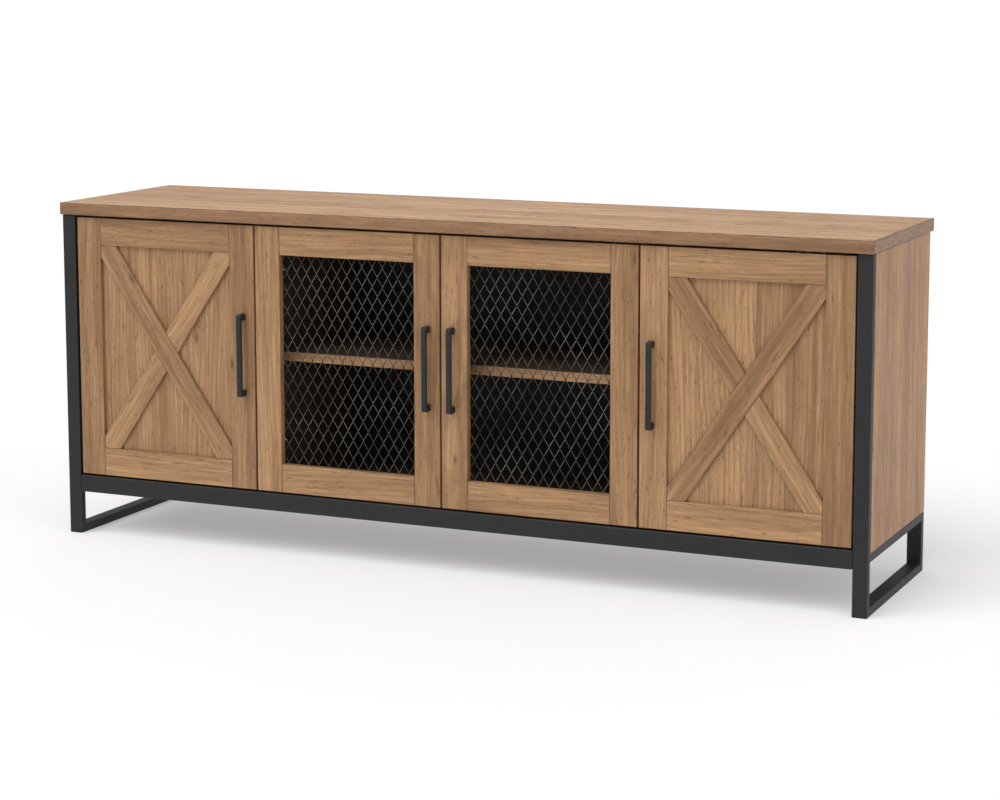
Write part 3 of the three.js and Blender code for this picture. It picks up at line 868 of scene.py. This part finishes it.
def cross_head(radius, height):
    """A domed screw head with a cross recess, standing on z = 0."""
    bm = bmesh.new()
    for level, share in ((0.0, 1.0), (0.45, 0.97), (0.8, 0.8), (1.0, 0.55)):
        bmesh.ops.create_circle(bm, cap_ends=False, segments=12, radius=radius * share * MM,
                                matrix=Matrix.Translation((0, 0, level * height * MM))
                                @ Matrix.Rotation(math.radians(15), 4, "Z"))
    bm.edges.ensure_lookup_table()
    rings = [bm.edges[start:start + 12] for start in range(0, 48, 12)]
    for lower, upper in zip(rings, rings[1:]):
        bmesh.ops.bridge_loops(bm, edges=lower + upper)
    cap = bmesh.ops.contextual_create(bm, geom=rings[-1])["faces"][0]
    bmesh.ops.inset_region(bm, faces=[cap], thickness=radius * 0.04 * MM)
    for vert in cap.verts:
        turn = math.atan2(vert.co.y, vert.co.x)
        quarter = round(turn / (math.pi / 2)) * math.pi / 2
        off = turn - quarter
        between_arms = abs(off) > 0.6
        long, wide = (0.17, 0.17) if between_arms else (0.44, 0.11)
        local = Vector((long, math.copysign(wide, off), 0)) * radius * MM
        local.rotate(Matrix.Rotation(quarter, 3, "Z"))
        vert.co.x, vert.co.y = local.x, local.y
    pushed = bmesh.ops.extrude_discrete_faces(bm, faces=[cap])["faces"]
    for face in pushed:
        bmesh.ops.translate(bm, vec=(0, 0, -0.7 * height * MM), verts=list(face.verts))
    bmesh.ops.remove_doubles(bm, verts=bm.verts[:], dist=1e-7)
    bmesh.ops.contextual_create(bm, geom=rings[0])
    mesh = bpy.data.meshes.new("cross_head")
    bm.to_mesh(mesh)
    bm.free()
    return mesh


def facing(place, out):
    """The matrix that stands a part made along Z at a place, with its top towards out."""
    return Matrix.Translation(place) @ Vector(out).to_track_quat("Z", "Y").to_matrix().to_4x4()


BACK = (0, 1, 0)
SCREW = cross_head(3.4, 1.8)
SMALL_SCREW = cross_head(2.6, 1.4)
WASHER = turned([(0, 0), (4.6, 0), (4.6, 0.5), (4.2, 0.8), (0, 0.8)], 20)
ON_WASHER = Vector((0, 0.8 * MM, 0))
print("screw head:", len(SCREW.polygons), "faces")

# %% [markdown]
# ## Handles
# The pull is a flat bar bent back at both ends, in the same black as the frame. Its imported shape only
# needs softer edges. Two bolts hold it from the back of the door, each on its washer.

# %% Handles and their bolts
BOLT = cross_head(4.2, 2.2)
BOLT_INSET = 6 * MM


def add_handle(door):
    node = door + "_handle"
    bm = copy_of(node)
    ease(bm, 0.9 * MM, segments=3)
    new_piece(bm, node + "_bar", door, ["handle"], [node])
    low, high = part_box(node)
    door_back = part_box(door + "_handle_stile")[1].y
    bolts = bmesh.new()
    for z in (low.z + BOLT_INSET, high.z - BOLT_INSET):
        centre = Vector(((low.x + high.x) / 2, door_back, z))
        stamp(bolts, WASHER, facing(centre, BACK))
        stamp(bolts, BOLT, facing(centre + ON_WASHER, BACK))
    new_piece(bolts, door + "_handle_bolts", door, ["zinc"], smooth=35)


for door in DOORS:
    add_handle(door)
print(len(DOORS), "handles")

# %% [markdown]
# ## Cup hinges
# Each door hangs on two sprung cup hinges. The cup is a pressed steel dish let into the door, with a
# screwed tab above and below it. The arm is fixed to the side or divider and carries the screws that
# line the door up. A curved link joins the two: an arc about the joint's axis that crosses the joint.

# %% Hinge cups, arms and links
CUP = turned([(0, -11.5), (16.4, -11.5), (17.5, -10.4), (17.5, 0.3), (19.0, 0.3), (19.0, 1.2),
              (16.4, 1.3), (16.0, 0.9), (16.0, -9.6), (15.0, -10.5), (0, -10.5)], 32)
TAB = (20 * MM, 1.5 * MM, 14.4 * MM)
TAB_REACH = 31 * MM
TAB_ASIDE = 5 * MM
TAB_SCREW_INSET = 7 * MM
ARM_SCREWS = (20 * MM, 42 * MM)
PLATE_SCREWS = 16 * MM
PLATE_SCREWS_BACK = 32 * MM
PLATE_THICK = 4 * MM
LINK = (1.8 * MM, 11 * MM)
LINK_ROOT = (19.9 * MM, 4.5 * MM)
LINK_DEPTH = 2.4 * MM


def eased_block(bm, low, high, radius):
    """A block between two corners, with all its edges rounded."""
    size = high - low
    place = Matrix.Translation((low + high) / 2) @ Matrix.Diagonal((*size, 1))
    verts = bmesh.ops.create_cube(bm, size=1, matrix=place)["verts"]
    edges = list({e for v in verts for e in v.link_edges})
    bmesh.ops.bevel(bm, geom=edges, offset=radius, segments=2, profile=0.5, affect="EDGES",
                    material=-1, clamp_overlap=True)


def add_cup(door, node):
    low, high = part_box(node)
    toward = DOORS[door]
    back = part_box(door + "_hinge_stile")[1].y
    centre = Vector(((low.x + high.x) / 2, back, (low.z + high.z) / 2))
    bm = bmesh.new()
    stamp(bm, CUP, facing(centre, BACK))
    width, thick, tall = TAB
    for up in (-1, 1):
        tip = Vector((centre.x + toward * TAB_ASIDE, back + CONTACT_GAP, centre.z + up * TAB_REACH))
        root = tip - Vector((0, 0, up * tall))
        corner = Vector((width / 2, 0, 0))
        ends = sorted((tip.z, root.z))
        eased_block(bm, Vector((tip.x, tip.y, ends[0])) - corner,
                    Vector((tip.x, tip.y + thick, ends[1])) + corner, 0.6 * MM)
        stamp(bm, SCREW, facing(tip + Vector((0, thick, -up * TAB_SCREW_INSET)), BACK))
    new_piece(bm, node + "_dish", door, ["plated"], [node], smooth=35)


def add_arm(door, node):
    low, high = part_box(node)
    toward = DOORS[door]
    out = (toward, 0, 0)
    bm = copy_of(node)
    ease(bm, 1.1 * MM)
    middle = (low.z + high.z) / 2
    face = (high.x if toward > 0 else low.x) - toward * 0.2 * MM
    for back_by in ARM_SCREWS:
        stamp(bm, SCREW, facing((face, low.y + back_by, middle), out))
    plate = (low.x if toward > 0 else high.x) + toward * PLATE_THICK
    for up in (-PLATE_SCREWS, PLATE_SCREWS):
        stamp(bm, SCREW, facing((plate, low.y + PLATE_SCREWS_BACK, middle + up), out))
    new_piece(bm, node + "_pressing", "cabinet", ["plated"], [node], smooth=35)


def add_link(door, place):
    """A curved channel about the joint's axis, from inside the arm's nose into the cup."""
    joint = next(j for j in frame["joints"] if j["child"] == door)
    axis = Vector(joint["pos_m"])
    toward = DOORS[door]
    cup_low, cup_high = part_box(f"{door}_{place}_hinge_cup")
    arm_low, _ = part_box(f"{door}_{place}_hinge_arm")
    height = (cup_low.z + cup_high.z) / 2
    reach = Vector((toward * LINK_ROOT[0], arm_low.y + LINK_ROOT[1] - axis.y, 0))
    deepest = cup_low.y + LINK_DEPTH - axis.y
    radius = reach.length
    start_turn = math.atan2(reach.y, toward * reach.x)
    end_turn = math.asin(deepest / radius)
    bm = bmesh.new()
    bmesh.ops.create_grid(bm, x_segments=1, y_segments=1, size=0.5)
    bmesh.ops.scale(bm, vec=(*LINK, 1), verts=bm.verts[:])
    bmesh.ops.rotate(bm, matrix=Matrix.Rotation(math.radians(90), 3, "X"), verts=bm.verts[:])
    bmesh.ops.translate(bm, vec=(radius, 0, 0), verts=bm.verts[:])
    bmesh.ops.rotate(bm, matrix=Matrix.Rotation(end_turn, 3, "Z"), verts=bm.verts[:])
    bmesh.ops.spin(bm, geom=bm.faces[:], cent=(0, 0, 0), axis=(0, 0, 1),
                   angle=start_turn - end_turn, steps=28)
    bmesh.ops.scale(bm, vec=(toward, 1, 1), verts=bm.verts[:])
    bmesh.ops.translate(bm, vec=(axis.x, axis.y, height), verts=bm.verts[:])
    bmesh.ops.holes_fill(bm, edges=[e for e in bm.edges if e.is_boundary], sides=0)
    bmesh.ops.recalc_face_normals(bm, faces=bm.faces[:])
    piece = new_piece(bm, f"{door}_{place}_hinge_link", None, ["plated"], smooth=35)
    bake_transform(piece)


for door in DOORS:
    for place in ("lower", "upper"):
        add_cup(door, f"{door}_{place}_hinge_cup")
        add_arm(door, f"{door}_{place}_hinge_arm")
        add_link(door, place)
print(2 * len(DOORS), "hinges")

# %% [markdown]
# ## Back panel and its nails
# The back is thin board, painted near black as painted shade for the bays, nailed on from behind,
# with a cable outlet in each bay. The nails sit 90 mm apart along the edges and the dividers. Each
# outlet has a moulded trim with a brush in it: two rows of bristles that part round a cable and keep
# light and dust out. A foam strip closes the slit under the board.

# %% Back panel, nails and outlet trims
NAIL = turned([(0, 0), (2.4, 0), (2.2, 0.5), (1.2, 0.9), (0, 1.0)], 10)
NAIL_SPACING = 90 * MM
OUTLET = (90 * MM, 50 * MM)
BRISTLE_STEP = 0.8 * MM


def add_back_panel():
    bm = copy_of("back_panel")
    ease(bm, 0.4 * MM)
    new_piece(bm, "back_panel_board", "cabinet", ["back_board_painted_shade"], ["back_panel"])


def even_places(start, end, spacing):
    """Places from start to end, evenly spread and about that far apart."""
    count = max(1, round((end - start) / spacing))
    return [start + (end - start) * step / count for step in range(count + 1)]


def add_nails():
    low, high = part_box("back_panel")
    edge = 9 * MM
    spots = set()
    for x in even_places(low.x + edge, high.x - edge, NAIL_SPACING):
        spots |= {(round(x, 5), low.z + edge), (round(x, 5), high.z - edge)}
    dividers = [sum(corner.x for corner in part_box(side + "_divider")) / 2 for side in ("left", "right")]
    for z in even_places(low.z + edge, high.z - edge, NAIL_SPACING):
        spots |= {(x, round(z, 5)) for x in (low.x + edge, high.x - edge, *dividers)}
    bm = bmesh.new()
    for x, z in sorted(spots):
        stamp(bm, NAIL, facing((x, high.y, z), BACK))
    new_piece(bm, "back_nails", "cabinet", ["zinc"])
    return len(spots)


def stadium_ring(bm, centre, length, height, rim, thick):
    """A ring with round ends that stands in the XZ plane and reaches back from the centre."""
    flat = Matrix.Rotation(math.radians(90), 4, "X")
    made = bmesh.ops.create_circle(bm, cap_ends=True, segments=32, radius=height / 2, matrix=flat)
    circle = made["verts"]
    for vert in circle:
        vert.co.x += math.copysign((length - height) / 2, vert.co.x + 0.01 * MM)
    bmesh.ops.translate(bm, vec=centre, verts=circle)
    plate = circle[0].link_faces[0]
    ring = bmesh.ops.inset_region(bm, faces=[plate], thickness=rim, use_boundary=True)["faces"]
    bmesh.ops.delete(bm, geom=[plate], context="FACES")
    thicken(bm, ring, thick)


def bristle_mesh():
    """A thin tapered bristle, one unit long, that hangs from the origin."""
    bm = bmesh.new()
    bmesh.ops.create_cone(bm, cap_ends=True, segments=5, radius1=0.55 * MM, radius2=0.8 * MM, depth=1,
                          matrix=Matrix.Translation((0, 0, -0.5)))
    mesh = bpy.data.meshes.new("bristle")
    bm.to_mesh(mesh)
    bm.free()
    return mesh


BRISTLE = bristle_mesh()


def add_bristles(bm, centre, rng):
    """Two rows of bristles, from above and from below, whose tips cross in the middle."""
    reach = OUTLET[0] / 2 - 1.5 * MM
    flat_part = (OUTLET[0] - OUTLET[1]) / 2
    for x in even_places(-reach, reach, BRISTLE_STEP):
        beyond = max(0.0, abs(x) - flat_part)
        half = math.sqrt((OUTLET[1] / 2) ** 2 - beyond ** 2) - 0.5 * MM
        for turn in (0, math.pi):
            lean = Matrix.Rotation(turn + rng.uniform(-0.03, 0.03), 4, "Y")
            root = centre + Vector((x, rng.uniform(-0.5, 0.5) * MM, half * math.cos(turn)))
            length = Matrix.Diagonal((1, 1, half + rng.uniform(3, 7) * MM, 1))
            stamp(bm, BRISTLE, Matrix.Translation(root) @ lean @ length)


def add_outlets():
    """A moulded sleeve and flange in every cable outlet, and the brush inside it."""
    low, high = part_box("back_panel")
    rng = random.Random(5)
    for opening in frame["record"]["physics"]["openings"]:
        if not opening["name"].endswith("cable_outlet"):
            continue
        first, last = (Vector(corner) for corner in opening["box_m"])
        centre = Vector(((first.x + last.x) / 2, low.y - 1.5 * MM, (first.z + last.z) / 2))
        trim = bmesh.new()
        long, tall = OUTLET
        stadium_ring(trim, centre, long - 0.4 * MM, tall - 0.4 * MM, 1.4 * MM, high.y - centre.y)
        back = Vector((centre.x, high.y, centre.z))
        stadium_ring(trim, back, long + 12 * MM, tall + 12 * MM, 7.4 * MM, 2.0 * MM)
        bmesh.ops.recalc_face_normals(trim, faces=trim.faces[:])
        new_piece(trim, opening["name"] + "_trim", "cabinet", ["plastic"], smooth=35)
        brush = bmesh.new()
        add_bristles(brush, Vector((centre.x, (low.y + high.y) / 2, centre.z)), rng)
        new_piece(brush, opening["name"] + "_brush", "cabinet", ["plastic"])


def add_seal():
    """A foam strip along the back panel's lower edge, where the rounded rail would leave a slit."""
    low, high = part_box("back_panel")
    bm = bmesh.new()
    eased_block(bm, Vector((low.x, low.y - 0.8 * MM, low.z - 0.9 * MM)),
                Vector((high.x, high.y - 0.3 * MM, low.z + 0.6 * MM)), 0.3 * MM)
    new_piece(bm, "back_seal", "cabinet", ["plastic"])


add_back_panel()
add_outlets()
add_seal()
print(add_nails(), "nails")

# %% [markdown]
# ## Small fixings inside
# Shelf pins hold the shelves, covers hide the cam locks in the dividers and sides, soft buttons keep
# the outer doors off the dividers, a double magnet holds the centre doors, whose free edges have
# nothing behind them, and little clamps hold the mesh in its rebate.

# %% Shelf pins, cam covers, buttons, magnets and clamps
PIN = turned([(0, 0), (4.0, 0), (4.0, 0.6), (2.5, 0.7), (2.5, 7.0), (2.1, 7.4), (0, 7.4)], 14)
CAM_COVER = turned([(0, 0), (8.5, 0), (8.5, 0.5), (7.9, 0.9), (0, 1.0)], 24)
BUTTON = turned([(0, 0), (3.2, 0), (3.2, 1.0), (2.6, 1.7), (1.4, 2.0), (0, 2.05)], 16)
CLAMP_GAP = 110 * MM


def add_shelf_pins():
    bm = bmesh.new()
    for side in ("left", "centre", "right"):
        low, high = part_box(side + "_shelf")
        for x, inward in ((low.x, 1), (high.x, -1)):
            for y in (low.y + 37 * MM, high.y - 37 * MM):
                place = Vector((x - inward * 0.5 * MM, y, low.z - 2.6 * MM))
                stamp(bm, PIN, facing(place, (inward, 0, 0)))
    new_piece(bm, "shelf_pins", "cabinet", ["plated"], smooth=35)


def add_cam_covers():
    bm = bmesh.new()
    faces = [(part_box("left_side_panel")[1].x, 1), (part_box("right_side_panel")[0].x, -1)]
    for side in ("left", "right"):
        low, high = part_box(side + "_divider")
        faces += [(low.x, -1), (high.x, 1)]
    low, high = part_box("left_divider")
    for x, out in faces:
        for y in (low.y + 60 * MM, high.y - 60 * MM):
            for z in (low.z + 34 * MM, high.z - 34 * MM):
                stamp(bm, CAM_COVER, facing((x, y, z), (out, 0, 0)))
    new_piece(bm, "cam_covers", "cabinet", ["plastic"], smooth=35)


def add_buttons(door):
    low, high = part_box(door + "_handle_stile")
    free_edge = high.x if DOORS[door] > 0 else low.x
    bm = bmesh.new()
    for z in (low.z + 40 * MM, high.z - 40 * MM):
        stamp(bm, BUTTON, facing((free_edge - DOORS[door] * 3.6 * MM, high.y, z), BACK))
    new_piece(bm, door + "_buttons", door, ["rubber"], smooth=35)


def add_magnets():
    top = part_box("top_panel")[0].z
    door_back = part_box("left_centre_door_handle_stile")[1].y
    catch = bmesh.new()
    eased_block(catch, Vector((-34 * MM, door_back + 2.4 * MM, top - 14 * MM)),
                Vector((34 * MM, door_back + 18 * MM, top - 0.1 * MM)), 1 * MM)
    new_piece(catch, "magnet_catch", "cabinet", ["plastic"], smooth=35)
    for door in ("left_centre_door", "right_centre_door"):
        strike = bmesh.new()
        side = -DOORS[door]
        edges = sorted((side * 9 * MM, side * 31 * MM))
        rail_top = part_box(door + "_handle_stile")[1].z
        eased_block(strike, Vector((edges[0], door_back, rail_top - 13 * MM)),
                    Vector((edges[1], door_back + 1.2 * MM, rail_top - 2 * MM)), 0.4 * MM)
        spot = (side * 20 * MM, door_back + 0.8 * MM, rail_top - 7.5 * MM)
        stamp(strike, SMALL_SCREW, facing(spot, BACK))
        new_piece(strike, door + "_strike", door, ["zinc"], smooth=35)


def add_clamps(door):
    low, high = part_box(door + "_mesh")
    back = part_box(door + "_handle_stile")[1].y
    bm = bmesh.new()
    along = even_places(low.x + 40 * MM, high.x - 40 * MM, CLAMP_GAP)
    upward = even_places(low.z + 50 * MM, high.z - 50 * MM, CLAMP_GAP)
    spots = [(x, z) for z in (low.z, high.z) for x in along]
    spots += [(x, z) for x in (low.x, high.x) for z in upward]
    for x, z in spots:
        stamp(bm, WASHER, facing((x, back, z), BACK))
        stamp(bm, SMALL_SCREW, facing((x, back + 0.8 * MM, z), BACK))
    new_piece(bm, door + "_mesh_clamps", door, ["zinc"], smooth=35)


add_shelf_pins()
add_cam_covers()
add_magnets()
for door in ("left_outer_door", "right_outer_door"):
    add_buttons(door)
for door in ("left_centre_door", "right_centre_door"):
    add_clamps(door)
print("small fixings done")
